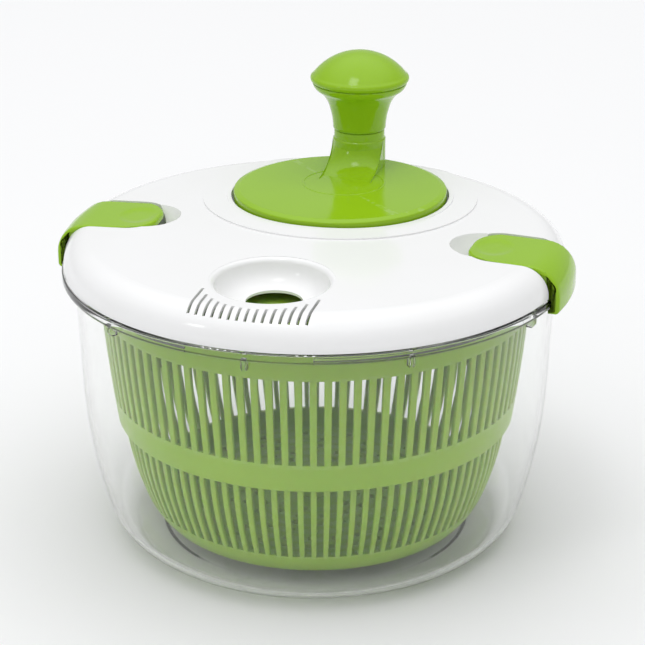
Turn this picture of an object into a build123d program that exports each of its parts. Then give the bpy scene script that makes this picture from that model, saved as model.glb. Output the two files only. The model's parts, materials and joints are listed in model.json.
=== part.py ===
from build123d import *

import os
from math import acos, asin, atan2, cos, degrees, pi, radians, sin, sqrt, tan

# Salad spinner: a clear bowl, a slotted basket that spins in it, and a lid that holds the crank.
# Millimetres. The origin is the centre of the foot, +Z is up, the latches lie on the X axis,
# and the pouring slots and the funnel are on the -Y side of the lid.

# ---- driving dimensions -------------------------------------------------------------------
RIM_Z = 143.0                  # height of the plane where the lid meets the bowl
FLANGE_R = 126.0               # outside of the bowl's flange
LID_R = 125.0                  # outside of the lid's skirt
LID_TOP = 161.2                # height of the lid's dome at its centre
CRANK_Y = 49.5                 # crank axis, from the bowl's axis
GEAR_MODULE = 1.5
CRANK_TEETH = 48
PINION_TEETH = 18
PRESSURE_ANGLE = 20.0
TOOTH_PLAY = 0.2               # backlash of the gear pair at the pitch circle
FUNNEL_Y = -73.0
KNOB_Y = 90.0                  # knob axis
RUN = 0.05                     # radial clearance of a running fit
SNUG = 0.02                    # radial clearance of a fixed fit
PAST = 1.0                     # how far a cutting tool runs past the face it cuts
BELOW_ALL = 100.0              # height under the whole lid, where its through cuts start
ABOVE_ALL = 200.0              # height over the whole lid, where they end

os.makedirs("parts", exist_ok=True)


# ---- helpers ------------------------------------------------------------------------------
def turned(*curves):
    """Full turn about Z of the closed outline that the curves make, as (radius, height)."""
    outline = Curve() + list(curves)
    return revolve(make_face(Plane.XZ * outline), Axis.Z)


def turned_points(*points):
    """Full turn about Z of a straight-sided outline."""
    return turned(Polyline(*points, close=True))


def turned_round(points, radii):
    """Full turn about Z of an outline with a rounding radius for each of its corners."""
    return turned(FilletPolyline(*points, radius=radii, close=True))


def arc_below(centre, radius, start, end):
    """Arc about a centre, with its angles in degrees below the horizontal."""
    spots = []
    for angle in (start, (start + end) / 2, end):
        along = radians(angle)
        spots.append((centre[0] + radius * cos(along), centre[1] - radius * sin(along)))
    return ThreePointArc(*spots)


def tube(outer, inner, low, high):
    """Upright tube about Z."""
    return turned_points((inner, low), (outer, low), (outer, high), (inner, high))


def rod(radius, low, high):
    """Upright cylinder about Z."""
    return Pos(0, 0, low) * Cylinder(radius, high - low, align=(Align.CENTER, Align.CENTER, Align.MIN))


def block(x, y, z):
    """Box between two limits along each axis."""
    size = [limits[1] - limits[0] for limits in (x, y, z)]
    centre = [(limits[0] + limits[1]) / 2 for limits in (x, y, z)]
    return Pos(*centre) * Box(*size)


def around(shape, count, start=0.0):
    """Copies of a shape, evenly spaced about Z."""
    return [Rot(0, 0, start + 360.0 * i / count) * shape for i in range(count)]


def save(name, shape):
    """Write one sub-part, as a solid or a group of solids."""
    solids = shape.solids()
    shape = solids[0] if len(solids) == 1 else Compound(solids)
    export_step(shape, "parts/" + name + ".step")


# ---- bowl ---------------------------------------------------------------------------------
BOWL_WALL = 2.5
BOWL_FLOOR = 4.6               # height of the inside floor
FOOT_R = 78.0                  # inside of the foot ring
FOOT_RISE = 2.1
SIDE_RADIUS = 266.0            # long curve of the bowl's side
SIDE_START = 2.0               # degrees from upright where the long curve begins
SIDE_END = 16.7                # and where it passes into the corner
SIDE_TOP = (118.0, 84.0)       # radius and height where the long curve begins
FLANGE_LOW = RIM_Z - 4.4
FLANGE_HIGH = RIM_Z - 0.3
FLANGE_IN = 118.0
FLANGE_ROUND = 0.9
NUB_TOP = RIM_Z + 0.5          # the lid rests on the nubs
NUB_SPAN = (122.8, 125.0)      # radii between which a nub stands
RIB_COUNT = 10
RIB_START = -88.0              # degrees from +X to the first rib
RIB_WIDTH = 2.7
RIB_OUT = 123.7
RIB_DROP = 6.0                 # how far a rib hangs below the flange
RIB_CHAMFER = 1.6
PIVOT_R = 3.2
PIVOT_TIP = 1.0                # bevel at the top of the pin
CONE = (11.0, 5.0)             # radii of the cone under the pin, at the floor and at its top
CONE_BASE = 15.0
PIVOT_STEP = 8.6               # height where the cone below the pivot pin ends
PIVOT_TOP = 19.0

side_centre = (
    SIDE_TOP[0] - SIDE_RADIUS * cos(radians(SIDE_START)),
    SIDE_TOP[1] + SIDE_RADIUS * sin(radians(SIDE_START)),
)
corner_top = (
    side_centre[0] + SIDE_RADIUS * cos(radians(SIDE_END)),
    side_centre[1] - SIDE_RADIUS * sin(radians(SIDE_END)),
)
corner_radius = corner_top[1] / (1 - sin(radians(SIDE_END)))
corner_centre = (corner_top[0] - corner_radius * cos(radians(SIDE_END)), corner_radius)


def bowl_solid(inset, floor, top):
    """Solid inside the bowl's side moved inwards by an inset, between two heights."""
    start = (
        side_centre[0] + (SIDE_RADIUS - inset) * cos(radians(SIDE_START)),
        side_centre[1] - (SIDE_RADIUS - inset) * sin(radians(SIDE_START)),
    )
    lip = (start[0] + (top - start[1]) * tan(radians(SIDE_START)), top)
    radius = corner_radius - inset
    end = degrees(asin((corner_radius - floor) / radius))
    foot = corner_centre[0] + radius * cos(radians(end))
    return turned(
        Line((0, floor), (0, top)),
        Line((0, top), lip),
        Line(lip, start),
        arc_below(side_centre, SIDE_RADIUS - inset, SIDE_START, SIDE_END),
        arc_below(corner_centre, radius, SIDE_END, end),
        Line((foot, floor), (0, floor)),
    )


def bowl_part():
    """Clear bowl with a flange, hanging ribs, rest nubs and the basket's pivot."""
    flange = turned_round(
        [(FLANGE_IN, FLANGE_LOW), (FLANGE_R, FLANGE_LOW), (FLANGE_R, FLANGE_HIGH), (FLANGE_IN, FLANGE_HIGH)],
        [0, FLANGE_ROUND, FLANGE_ROUND, 0],
    )
    width = (-RIB_WIDTH / 2, RIB_WIDTH / 2)
    rib = block((FLANGE_IN, RIB_OUT), width, (FLANGE_LOW - RIB_DROP, FLANGE_LOW + PAST))
    lower_edges = rib.edges().filter_by(Axis.Y).sort_by(Axis.Z)[:2]
    rib = chamfer(lower_edges.sort_by(Axis.X)[-1:], RIB_CHAMFER)
    nub = block(NUB_SPAN, width, (FLANGE_HIGH - PAST, NUB_TOP))
    body = bowl_solid(0, 0, FLANGE_HIGH) + [flange]
    body += around(rib, RIB_COUNT, RIB_START) + around(nub, RIB_COUNT, RIB_START)
    body -= bowl_solid(BOWL_WALL, BOWL_FLOOR, RIM_Z + PAST)
    body -= rod(FOOT_R, -PAST, FOOT_RISE)
    root = (FOOT_RISE + BOWL_FLOOR) / 2
    pivot = turned_points(
        (0, root), (CONE_BASE, root), (CONE_BASE, BOWL_FLOOR), (CONE[0], BOWL_FLOOR + PIVOT_TIP),
        (CONE[1], PIVOT_STEP), (PIVOT_R, PIVOT_STEP), (PIVOT_R, PIVOT_TOP - PIVOT_TIP),
        (PIVOT_R - PIVOT_TIP, PIVOT_TOP), (0, PIVOT_TOP),
    )
    return body + pivot


# ---- basket -------------------------------------------------------------------------------
BASKET_TOP = RIM_Z - 4.0
SLOT_COUNT = 98
SLOT_WIDTH = 3.3
UPPER_SLOTS = (78.0, 123.0)    # heights of the upper row of slots
LOWER_SLOTS = (22.0, 63.5)     # heights of the lower row
BAND_LOW = 63.5                # the plain band stands proud above this height
BASKET_WALL = 2.2
BASKET_BASE = 10.2
BASKET_FLOOR = 14.0            # inside floor
BASKET_R = 108.4               # outside radius at the top, under the rim
MIDDLE_R = 105.4               # and half way down to the step
BAND_R = 100.9                 # and at the step, above it
STEP_R = 98.3                  # and below it
BELLY = (94.6, 42.0)           # radius and height of points lower down the outside
HEEL = (87.6, 21.0)
TOE_R = 84.4                   # radius half way from the heel to the base
BASE_R = 79.8
RIM_SPAN = (105.8, 110.4)      # inside and outside radius of the rim
RIM_THICK = 2.6
GROOVE = (77.6, 1.6)           # radius and height of the recess round the base's edge
FLOOR_RINGS = 7
FLOOR_RING_R = 22.0            # radius of the first ring of holes
FLOOR_PITCH = 8.0              # from ring to ring
FLOOR_HOLE = 3.6               # side of a square hole
FLOOR_HOLES = 12               # holes in the first ring
FLOOR_MORE = 4                 # more holes in each further ring
HUB_R = 10.0
HUB_TOP = 26.0
BUSH_R = 6.0
BUSH_FLANGE = 2.5
BUSH_LOW = PIVOT_STEP + 0.4
BUSH_ROOF = HUB_TOP - 3.0      # top of the hub's bore
LUG_COUNT = 6
LUG_WIDTH = 9.0
LUG_PLAY = 0.5
NOTCH_DEPTH = 6.5
CHEEK = 2.2                    # thickness of the notches' cheeks
CHEEK_SPAN = (101.0, 106.6)    # radii between which they stand


def basket_solid(inset, low, top):
    """Solid inside the basket's side moved inwards by an inset, between two heights."""
    rim = (BASKET_R - inset, top)
    band = (BAND_R - inset, BAND_LOW + inset)
    step = (STEP_R - inset, BAND_LOW + inset)
    belly = (BELLY[0] - inset, BELLY[1])
    heel = (HEEL[0] - inset, HEEL[1])
    base = (BASE_R - inset, low)
    return turned(
        Line((0, low), (0, top)),
        Line((0, top), rim),
        ThreePointArc(rim, (MIDDLE_R - inset, (top + BAND_LOW) / 2), band),
        Line(band, step),
        ThreePointArc(step, belly, heel),
        ThreePointArc(heel, (TOE_R - inset * 0.9, (HEEL[1] + low) / 2), base),
        Line(base, (0, low)),
    )


def floor_openings():
    """Small square holes in rings through the basket's floor."""
    tools = []
    half = FLOOR_HOLE / 2
    for ring in range(FLOOR_RINGS):
        radius = FLOOR_RING_R + FLOOR_PITCH * ring
        hole = block((radius - half, radius + half), (-half, half), (BASKET_BASE - PAST, BASKET_FLOOR + PAST))
        tools += around(hole, FLOOR_HOLES + FLOOR_MORE * ring)
    return tools


def basket_part():
    """Slotted basket with a hub that turns on the pivot bush and notches for the drive plate."""
    body = basket_solid(0, BASKET_BASE, BASKET_TOP) - basket_solid(BASKET_WALL, BASKET_FLOOR, BASKET_TOP + PAST)
    body += tube(RIM_SPAN[1], RIM_SPAN[0], BASKET_TOP - RIM_THICK, BASKET_TOP)
    notch_wall = tube(CHEEK_SPAN[1], CHEEK_SPAN[0], BASKET_TOP - NOTCH_DEPTH, BASKET_TOP)
    radial = (CHEEK_SPAN[0] - PAST, CHEEK_SPAN[1] + PAST)
    upright = (BASKET_TOP - NOTCH_DEPTH - PAST, BASKET_TOP + PAST)
    reach = LUG_WIDTH / 2 + LUG_PLAY
    cheek = block(radial, (reach, reach + CHEEK), upright) + block(radial, (-reach - CHEEK, -reach), upright)
    body += [notch_wall & part for part in around(cheek, LUG_COUNT)]
    for low, high in (UPPER_SLOTS, LOWER_SLOTS):
        slot = block((HEEL[0] - 2 * BASKET_WALL, RIM_SPAN[1]), (-SLOT_WIDTH / 2, SLOT_WIDTH / 2), (low, high))
        body -= around(slot, SLOT_COUNT)
    body -= tube(HEEL[0], GROOVE[0], BASKET_BASE - PAST, BASKET_BASE + GROOVE[1])
    body -= floor_openings()
    body += rod(HUB_R, BASKET_BASE, HUB_TOP)
    return body - rod(BUSH_R + RUN, BASKET_BASE - PAST, BUSH_ROOF)


def pivot_bush():
    """Closed cap that sits on the bowl's pin inside the basket's hub."""
    body = rod(BUSH_R, BUSH_LOW, BUSH_ROOF - RUN) + rod(BUSH_R + BUSH_FLANGE, BUSH_LOW, BASKET_BASE - 2 * RUN)
    return body - rod(PIVOT_R + RUN, 0, PIVOT_TOP)


# ---- lid shell ----------------------------------------------------------------------------
SHELL = 2.2
LID_EDGE = LID_TOP - 2.6       # height of the dome's straight run where it would meet the skirt
LID_ROLL = 14.0                # radius of the rolled edge
RING_R = 71.0                  # raised ring about the crank
RING_TOP = 162.0
RING_FALL = 0.2                # fall of the ring's top from the well to its edge
RING_ROUND = 0.9
WELL_R = 56.5
WELL_WALL = 2.2
WELL_FLOOR = 156.0
BOSS_WALL = 3.0                # wall of the bushing's boss
BOSS_RISE = 2.5
LINER_TOP = RIM_Z + 0.6
BUSHING_R = 10.0
FUNNEL_HOLE = 13.5
FUNNEL_FLOOR = RIM_Z + 4.4
FUNNEL_CURVE = 10.5
FUNNEL_DISH = 27.0             # radius of the dish where its curve stands upright
FUNNEL_LIP = 2.5
FUNNEL_EDGE = 1.0              # thickness that the dish's floor thins to at its hole
FUNNEL_BEVEL = 5.0             # width of that thinning, on the underside
VENT_COUNT = 15
VENT_PITCH = 3.95
VENT_WIDTH = 1.4
VENT_REACH = 120.0             # outer ends of the pouring slots
VENT_ARC = (30.3, -81.9)       # radius and centre of the arc through their inner ends
SCREW_R = 110.8                # circle of the lid's screws
SCREW_COUNT = 4
SCREW_PILOT = 1.4
SCREW_DEPTH = 9.0
SCREW_POST = 4.0
LATCH_TURN = 3.3               # degrees that each latch stands off the X axis, towards the funnel
LATCH_WIDTH = 40.0
LATCH_TIP = 80.0
TIP_ROUND = 15.0               # plan radius of the corners of the tip
PIVOT_X = 118.0
PIVOT_Z = 151.0
PIN_R = 1.5
POCKET_FLOOR = RIM_Z + 5.0
POCKET_GAP = 0.7
POCKET_WALL = 2.9              # wall left on each side of a pocket
PAN_REACH = 68.0               # where the pocket's floor starts, from the bowl's axis
SCOOP_R = 17.5                 # radius of the finger scoop at the lid's surface
SCOOP_SHIFT = 7.0
PIN_HOLE = 47.0                # length of the pin's hole


def lid_solid(inset, top):
    """Solid under the lid's dome, moved inwards by an inset."""
    edge = LID_EDGE + top - LID_TOP
    return turned_round(
        [(0, BELOW_ALL), (LID_R - inset, BELOW_ALL), (LID_R - inset, edge - inset), (0, top - inset)],
        [0, 0, LID_ROLL - inset, 0],
    )


def vent_tools():
    """Parallel pouring slots whose inner ends follow an arc round the funnel."""
    tools = []
    for i in range(VENT_COUNT):
        x = (i - (VENT_COUNT - 1) / 2) * VENT_PITCH
        inner = VENT_ARC[1] - sqrt(VENT_ARC[0] ** 2 - x ** 2)
        outer = -sqrt(VENT_REACH ** 2 - x ** 2)
        tools.append(block((x - VENT_WIDTH / 2, x + VENT_WIDTH / 2), (outer, inner), (POCKET_FLOOR, ABOVE_ALL)))
    return tools


def latch_plan(gap, reach, low, high):
    """Upright solid over a latch's outline, widened by a gap, with its rounded inner end."""
    half = LATCH_WIDTH / 2 + gap
    tip = LATCH_TIP - gap
    corners = [(tip, -half), (reach, -half), (reach, half), (tip, half)]
    outline = FilletPolyline(*corners, radius=[TIP_ROUND, 0, 0, TIP_ROUND], close=True)
    return Pos(0, 0, low) * extrude(make_face(outline), high - low)


def at_latches(shape):
    """Both copies of a shape that is drawn along +X, turned to where the latches stand."""
    return [Rot(0, 0, turn) * shape for turn in (-LATCH_TURN, 180.0 + LATCH_TURN)]


def latch_pocket():
    """Room for a latch: a pocket of its outline, a finger scoop and a gap through the skirt."""
    half = LATCH_WIDTH / 2 + POCKET_GAP
    outside = LID_R + 10.0
    surface = LID_TOP - (LID_TOP - LID_EDGE) * LATCH_TIP / LID_R
    depth = surface + 0.3 - POCKET_FLOOR
    ball = (SCOOP_R ** 2 + depth ** 2) / (2 * depth)
    scoop = Pos(LATCH_TIP + SCOOP_SHIFT, 0, POCKET_FLOOR + ball) * Sphere(ball)
    pocket = latch_plan(POCKET_GAP, outside, POCKET_FLOOR, ABOVE_ALL)
    gap = block((PIVOT_X - 6.0, outside), (-half, half), (BELOW_ALL, ABOVE_ALL))
    return pocket + scoop + gap


def lid_shell():
    """White lid with its crank well, funnel, pouring slots, latch pockets and screw posts."""
    outer = lid_solid(0, LID_TOP)
    hollow = lid_solid(SHELL, LID_TOP)
    ring_low = WELL_FLOOR - 6.0
    ring = Pos(0, CRANK_Y) * turned_round(
        [(0, ring_low), (RING_R, ring_low), (RING_R, RING_TOP - RING_FALL), (WELL_R, RING_TOP), (0, RING_TOP)],
        [0, 0, RING_ROUND, 0, 0],
    )
    envelope = lid_solid(0, RING_TOP)
    well = Pos(0, CRANK_Y) * rod(WELL_R + WELL_WALL, WELL_FLOOR - SHELL, RING_TOP - 1.0)
    boss = Pos(0, CRANK_Y) * rod(BUSHING_R + BOSS_WALL, WELL_FLOOR - SHELL, WELL_FLOOR + BOSS_RISE)
    tilt = Pos(0, FUNNEL_Y) * Rot(degrees(atan2(LID_TOP - LID_EDGE, LID_R)), 0, 0) * Pos(0, 0, FUNNEL_FLOOR)
    arc_x = FUNNEL_DISH - FUNNEL_CURVE
    over = FUNNEL_CURVE + 2 * FUNNEL_LIP
    dish_skin = tilt * turned(
        Line((0, -SHELL), (arc_x, -SHELL)),
        arc_below((arc_x, FUNNEL_CURVE), FUNNEL_CURVE + SHELL, 90, 0),
        Line((arc_x + FUNNEL_CURVE + SHELL, FUNNEL_CURVE), (0, FUNNEL_CURVE)),
        Line((0, FUNNEL_CURVE), (0, -SHELL)),
    )
    lip_x = arc_x + FUNNEL_CURVE + FUNNEL_LIP
    lip_z = FUNNEL_CURVE - 1.0
    dish = tilt * turned(
        Line((0, 0), (arc_x, 0)),
        arc_below((arc_x, FUNNEL_CURVE), FUNNEL_CURVE, 90, degrees(asin(1.0 / FUNNEL_CURVE))),
        ThreePointArc(
            (arc_x + sqrt(FUNNEL_CURVE ** 2 - 1), lip_z),
            (lip_x - FUNNEL_LIP * cos(radians(45)), lip_z + FUNNEL_LIP * sin(radians(45))),
            (lip_x, lip_z + FUNNEL_LIP),
        ),
        Line((lip_x, lip_z + FUNNEL_LIP), (lip_x, over)),
        Line((lip_x, over), (0, over)),
        Line((0, over), (0, 0)),
    )
    bevel = Pos(0, FUNNEL_Y) * turned_points(
        (0, FUNNEL_FLOOR - FUNNEL_EDGE), (FUNNEL_HOLE, FUNNEL_FLOOR - FUNNEL_EDGE),
        (FUNNEL_HOLE + FUNNEL_BEVEL, FUNNEL_FLOOR - SHELL - FUNNEL_EDGE), (0, FUNNEL_FLOOR - SHELL - FUNNEL_EDGE),
    )
    posts = around(Pos(SCREW_R, 0) * rod(SCREW_POST, LINER_TOP, LID_EDGE - 1.6), SCREW_COUNT, 45)
    pan_half = LATCH_WIDTH / 2 + POCKET_GAP + POCKET_WALL
    pan = block((PAN_REACH, LID_R), (-pan_half, pan_half), (POCKET_FLOOR - SHELL, LID_TOP)) & outer
    pans = at_latches(pan)
    under = rod(LID_R + PAST, BELOW_ALL - PAST, NUB_TOP)
    body = (outer - hollow - under) + (ring & envelope & (ring - hollow))
    body += [well, boss, dish_skin] + posts + pans
    cuts = [Pos(0, CRANK_Y) * rod(WELL_R, WELL_FLOOR, ABOVE_ALL) - boss]
    cuts += [Pos(0, CRANK_Y) * rod(BUSHING_R + SNUG, BELOW_ALL, ABOVE_ALL)]
    cuts += [dish, bevel, Pos(0, FUNNEL_Y) * rod(FUNNEL_HOLE, BELOW_ALL, ABOVE_ALL)]
    cuts += vent_tools()
    pilot = Pos(SCREW_R, 0) * rod(SCREW_PILOT, LINER_TOP - PAST, LINER_TOP + SCREW_DEPTH)
    cuts += around(pilot, SCREW_COUNT, 45)
    pin_hole = Pos(PIVOT_X, 0, PIVOT_Z) * Rot(90, 0, 0) * Cylinder(PIN_R + SNUG, PIN_HOLE)
    cuts += at_latches(latch_pocket() + pin_hole)
    for cut in cuts:
        body -= cut
    return body


# ---- lid liner and its screws -------------------------------------------------------------
LINER_LOW = RIM_Z - 1.4
LINER_R = 116.0
LINER_WALL = (113.8, 115.8)    # inside and outside radius of its locating wall
LINER_DROP = 6.0               # how far that wall goes down below the rim's plane
LINER_SCREW_R = 1.9
DRIVE_SHAFT_R = 6.0
DRIVE_BUSH_R = 9.0
WINDOW_HALF = 29.5             # half width of the liner's window below the funnel and the pouring slots


def lid_liner():
    """Clear plate that closes the lid from below, open under the funnel and the pouring slots."""
    body = rod(LINER_R, LINER_LOW, LINER_TOP)
    body += tube(LINER_WALL[1], LINER_WALL[0], RIM_Z - LINER_DROP, LINER_LOW + PAST)
    cuts = [rod(DRIVE_BUSH_R + SNUG, BELOW_ALL, ABOVE_ALL)]
    cuts.append(Pos(0, FUNNEL_Y) * rod(WINDOW_HALF, BELOW_ALL, ABOVE_ALL))
    cuts.append(block((-WINDOW_HALF, WINDOW_HALF), (-LID_R, FUNNEL_Y), (BELOW_ALL, ABOVE_ALL)))
    cuts += around(Pos(SCREW_R, 0) * rod(LINER_SCREW_R, BELOW_ALL, ABOVE_ALL), SCREW_COUNT, 45)
    return body - cuts


def pan_screw(shank, length, head, height):
    """Screw with its head below the origin plane and its shank above; a cross recess in the head."""
    body = rod(shank, -0.01, length) + turned_round([(0, -height), (head, -height), (head, 0), (0, 0)],
                                                    [0, height * 0.6, 0, 0])
    slot = block((-head * 0.55, head * 0.55), (-0.4, 0.4), (-height - 1, -height * 0.45))
    return body - [slot, Rot(0, 0, 90) * slot]


# ---- crank --------------------------------------------------------------------------------
DISC_R = 55.4
DISC_TOP = RIM_Z + 21.75
DISC_THICK = 2.6
DISC_RIM = 2.4                 # thickness of the disc's rim
DISC_RIM_LOW = WELL_FLOOR + 1.2
DISC_ROUND = 1.3
BADGE = (20.6, 21.6, 7.0)      # radii of the fine raised ring on the disc, and its offset along Y
BADGE_RISE = 0.25
HUB_COLLAR_R = 12.0
JOURNAL_R = 7.0
BUSHING_TOP = WELL_FLOOR + 3.5
GEAR_LOW = 146.7
GEAR_HIGH = 152.7
GEAR_SQUARE = 8.8
GEAR_POCKET = (12.0, 30.0)     # radii of the pockets between the large gear's hub and its rim
GEAR_WEB = (147.9, 150.7)      # heights of the web between them
WASHER_LOW = GEAR_LOW - 1.0
WASHER_R = (2.1, 8.5)
POST_R = 14.0
POST_TOP = RIM_Z + 41.5
COLLAR_Z = POST_TOP - 5.0
COLLAR_STEP = 0.5
RAMP_FOOT = KNOB_Y - 30.0      # where the ramp starts on the disc
RAMP_MIDDLE = (KNOB_Y - 17.0, DISC_TOP + 4.4)
RAMP_TOP = KNOB_Y - 10.0       # where it reaches the collar's height
SPINDLE_R = 4.0
SPINDLE_LOW = DISC_TOP + 2.2
CRANK_PILOT = (2.0, 12.0)      # radius and depth of the hole for the crank's screw


def square(size, low, high):
    """Upright square bar about Z."""
    return block((-size / 2, size / 2), (-size / 2, size / 2), (low, high))


def crank_disc():
    """Round crank with a rim, a hub that goes down to the gear and a ramped post for the knob."""
    under = DISC_TOP - DISC_THICK
    rim_in = DISC_R - DISC_RIM
    disc = turned_round(
        [(0, under), (rim_in, under), (rim_in, DISC_RIM_LOW), (DISC_R, DISC_RIM_LOW), (DISC_R, DISC_TOP - 0.5),
         (DISC_R - 3.0, DISC_TOP), (0, DISC_TOP)],
        [0, 0, 0, 0, DISC_ROUND, 0, 0],
    )
    inside = DISC_TOP - PAST
    disc += Pos(0, BADGE[2]) * tube(BADGE[1], BADGE[0], inside, DISC_TOP + BADGE_RISE)
    disc += rod(HUB_COLLAR_R, BUSHING_TOP + 0.1, inside) + rod(JOURNAL_R, GEAR_HIGH + 0.2, inside)
    disc += square(GEAR_SQUARE, GEAR_LOW + 0.1, GEAR_HIGH + 0.4)
    disc -= rod(CRANK_PILOT[0], GEAR_LOW - PAST, GEAR_LOW + CRANK_PILOT[1])
    disc = Pos(0, CRANK_Y) * disc
    post = rod(POST_R, inside, COLLAR_Z) + rod(POST_R - COLLAR_STEP, COLLAR_Z - PAST, POST_TOP)
    ramp_foot = (RAMP_FOOT, DISC_TOP)
    ramp_top = (RAMP_TOP, COLLAR_Z)
    ramp_side = Plane.YZ * (
        Line((KNOB_Y, inside), (RAMP_FOOT, inside))
        + Line((RAMP_FOOT, inside), ramp_foot)
        + ThreePointArc(ramp_foot, RAMP_MIDDLE, ramp_top)
        + Line(ramp_top, (KNOB_Y, COLLAR_Z))
        + Line((KNOB_Y, COLLAR_Z), (KNOB_Y, inside))
    )
    ramp = extrude(make_face(ramp_side), POST_R - 0.3, both=True)
    body = disc + [Pos(0, KNOB_Y) * post, ramp]
    return body - Pos(0, KNOB_Y) * rod(SPINDLE_R + SNUG, SPINDLE_LOW - 0.2, ABOVE_ALL)


def crank_bushing():
    """Flanged sleeve that the crank turns in."""
    return Pos(0, CRANK_Y) * (
        tube(BUSHING_R, JOURNAL_R + RUN, GEAR_HIGH + 0.3, BUSHING_TOP)
        + tube(BUSHING_R + 2.0, JOURNAL_R + RUN, WELL_FLOOR + BOSS_RISE, BUSHING_TOP)
    )


def gear_solid(teeth, low, high):
    """Involute spur gear with a tooth on the +X axis."""
    pitch = GEAR_MODULE * teeth / 2
    base = pitch * cos(radians(PRESSURE_ANGLE))
    tip = pitch + GEAR_MODULE
    root = pitch - 1.25 * GEAR_MODULE
    start = max(base, root)

    def roll(radius):
        """Involute function of the pressure angle at a radius."""
        angle = acos(min(1.0, base / radius))
        return tan(angle) - angle

    half = pi / (2 * teeth) - TOOTH_PLAY / (2 * pitch)

    def spot(radius, side, centre):
        """Point on one flank of the tooth whose centre line is at an angle."""
        angle = centre + side * (half + roll(pitch) - roll(max(radius, base)))
        return (radius * cos(angle), radius * sin(angle))

    outline = []
    for tooth in range(teeth):
        centre = 2 * pi * tooth / teeth
        flanks = []
        for side in (-1, 1):
            flanks.append([spot(r, side, centre) for r in (root, start, (start + tip) / 2, tip)])
        rise, fall = flanks
        if start > root:
            outline += [Line(rise[0], rise[1]), Line(fall[1], fall[0])]
        outline += [ThreePointArc(*rise[1:]), Line(rise[3], fall[3]), ThreePointArc(*reversed(fall[1:]))]
        outline.append(Line(fall[0], spot(root, -1, centre + 2 * pi / teeth)))
    return Pos(0, 0, low) * extrude(make_face(Curve() + outline), high - low)


def crank_gear():
    """Large gear under the well, pocketed between its hub and its rim."""
    gear = gear_solid(CRANK_TEETH, GEAR_LOW, GEAR_HIGH)
    gear -= tube(GEAR_POCKET[1], GEAR_POCKET[0], GEAR_WEB[1], GEAR_HIGH + PAST)
    gear -= tube(GEAR_POCKET[1], GEAR_POCKET[0], GEAR_LOW - PAST, GEAR_WEB[0])
    gear -= square(GEAR_SQUARE + 2 * SNUG, BELOW_ALL, ABOVE_ALL)
    return Pos(0, CRANK_Y) * gear


def crank_washer():
    """Steel washer under the gear."""
    return Pos(0, CRANK_Y) * tube(WASHER_R[1], WASHER_R[0], WASHER_LOW, GEAR_LOW)


# ---- knob ---------------------------------------------------------------------------------
KNOB_LOW = POST_TOP + 0.3
CAP_SEAM = RIM_Z + 67.0
KNOB_TOP = RIM_Z + 83.4
GRIP_FOOT = 14.0               # radius of the grip's foot
GRIP_THROAT = (14.5, RIM_Z + 47.6)
GRIP_WAIST = (15.9, RIM_Z + 53.5)
GRIP_SWELL = (18.6, RIM_Z + 59.2)
GRIP_FLARE = (23.0, RIM_Z + 63.3)
GRIP_SHOULDER = (24.6, RIM_Z + 65.0)
BRIM_R = 25.2
BRIM_OUT = (26.1, RIM_Z + 68.9)
BROW = (24.9, RIM_Z + 71.2)
CUP = (10.0, 20.0, 7.0)        # radii and depth of the recess in the grip's top
CAP_BORE = 19.4
CAP_WALL = 3.0
CAP_STEP = 4.0                 # height of the cap's inner wall
SPINDLE_HEAD = 7.0


def knob_grip():
    """Waisted grip that turns on the spindle."""
    bore = SPINDLE_R + RUN
    start = (GRIP_FOOT, KNOB_LOW)
    brim = (BRIM_R, CAP_SEAM)
    cup_low = CAP_SEAM - CUP[2]
    body = turned(
        Line((bore, KNOB_LOW), start),
        ThreePointArc(start, GRIP_THROAT, GRIP_WAIST),
        ThreePointArc(GRIP_WAIST, GRIP_SWELL, GRIP_FLARE),
        ThreePointArc(GRIP_FLARE, GRIP_SHOULDER, brim),
        Line(brim, (CUP[1], CAP_SEAM)),
        Line((CUP[1], CAP_SEAM), (CUP[0], cup_low)),
        Line((CUP[0], cup_low), (bore, cup_low)),
        Line((bore, cup_low), (bore, KNOB_LOW)),
    )
    return Pos(0, KNOB_Y) * body


def dome_arc(edge, top, radius_at_edge):
    """Arc of a ball about the axis, from its top to its edge."""
    rise = top - edge
    ball = (radius_at_edge ** 2 + rise ** 2) / (2 * rise)
    middle = radius_at_edge * 0.5
    return ThreePointArc((0, top), (middle, top - ball + sqrt(ball ** 2 - middle ** 2)), (radius_at_edge, edge))


def knob_cap():
    """Hollow domed cap that closes the grip."""
    brim = (BRIM_R, CAP_SEAM)
    step = CAP_SEAM + CAP_STEP
    body = turned(
        Line((CAP_BORE, CAP_SEAM), brim),
        ThreePointArc(brim, BRIM_OUT, BROW),
        dome_arc(BROW[1], KNOB_TOP, BROW[0]),
        Line((0, KNOB_TOP), (0, KNOB_TOP - CAP_WALL)),
        dome_arc(step, KNOB_TOP - CAP_WALL, CAP_BORE),
        Line((CAP_BORE, step), (CAP_BORE, CAP_SEAM)),
    )
    return Pos(0, KNOB_Y) * body


def knob_spindle():
    """Steel pin fixed in the post, with a head that keeps the knob on."""
    head_low = CAP_SEAM - CUP[2] + 0.3
    body = rod(SPINDLE_R, SPINDLE_LOW, head_low) + rod(SPINDLE_HEAD, head_low, head_low + 2.1)
    return Pos(0, KNOB_Y) * body


# ---- drive under the lid ------------------------------------------------------------------
PLATE_TOP = RIM_Z - 2.0
PLATE_LOW = RIM_Z - 3.6
PLATE_R = 106.8
LUG_SPAN = (101.4, 104.6)      # radii between which the lugs stand
DRAIN_R = 3.0
DRAIN_ROWS = 4
DRAIN_COUNT = 24               # drain holes in a row
DRAIN_FIRST = 66.0             # radius of the first row
DRAIN_PITCH = 10.0
DRIVE_PILOT = (1.6, 10.5)      # radius and depth of the hole for the drive's screw
PINION_LOW = 145.4
DRIVE_SQUARE = 8.0


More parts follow.
